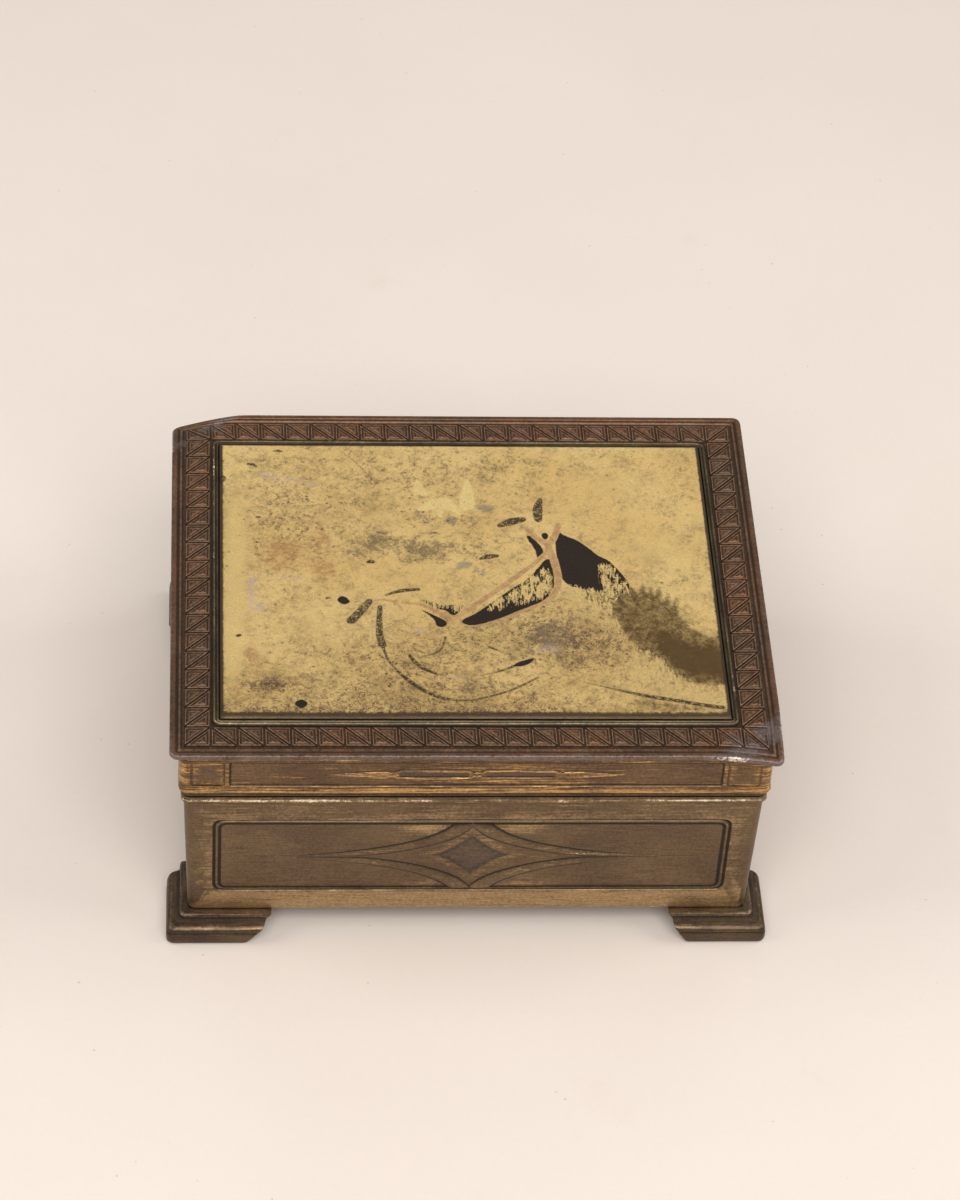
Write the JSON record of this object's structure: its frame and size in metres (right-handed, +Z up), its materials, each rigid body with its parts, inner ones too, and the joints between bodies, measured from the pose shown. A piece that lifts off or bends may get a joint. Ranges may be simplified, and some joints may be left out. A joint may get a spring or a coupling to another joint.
{
  "type": "hinged metal table box",
  "caption": "Small cast brass table box on four bracket feet, with a hinged lid, an embossed tile border, a gilt picture plate and a divided cedar liner.",
  "frame": {"origin": "on the ground under the middle of the box", "axes": "+X to the right along the front, +Y to the back where the hinges are, +Z up"},
  "size_m": [0.1216, 0.1024, 0.0543],
  "materials": {
    "case_brass": "browned cast brass, worn to gold on the raised lines",
    "foot_brass": "darkened cast brass",
    "patinated_bronze": "copper-brown patina, rubbed bright on the edges",
    "gilt": "pale satin gilding, speckled and worn",
    "hinge_brass": "dull sheet brass",
    "cedar": "plain unvarnished boards"
  },
  "bodies": {
    "case": {"case_shell": "case_brass", "bottom_plate": "case_brass", "foot_front_left": "foot_brass", "foot_front_right": "foot_brass", "foot_rear_left": "foot_brass", "foot_rear_right": "foot_brass", "liner_floor": "cedar", "liner_left": "cedar", "liner_right": "cedar", "liner_front": "cedar", "liner_back": "cedar", "liner_divider": "cedar", "hinge_left_case_leaf": "hinge_brass", "hinge_left_pin": "hinge_brass", "hinge_left_case_rivet_1": "hinge_brass", "hinge_left_case_rivet_2": "hinge_brass", "hinge_right_case_leaf": "hinge_brass", "hinge_right_pin": "hinge_brass", "hinge_right_case_rivet_1": "hinge_brass", "hinge_right_case_rivet_2": "hinge_brass"},
    "lid": {"lid_top_plate": "patinated_bronze", "lid_skirt": "case_brass", "plate_bezel": "patinated_bronze", "picture_plate": "gilt", "lid_lining": "cedar", "hinge_left_lid_leaf": "hinge_brass", "hinge_right_lid_leaf": "hinge_brass", "hinge_left_lid_rivet_1": "hinge_brass", "hinge_left_lid_rivet_2": "hinge_brass", "hinge_right_lid_rivet_1": "hinge_brass", "hinge_right_lid_rivet_2": "hinge_brass"}
  },
  "joints": [
    {"name": "lid_hinge", "type": "hinge", "parent": "case", "child": "lid", "pos_m": [0, 0.04955, 0.0407], "axis": [-1, 0, 0], "range_deg": [0, 97]}
  ]
}
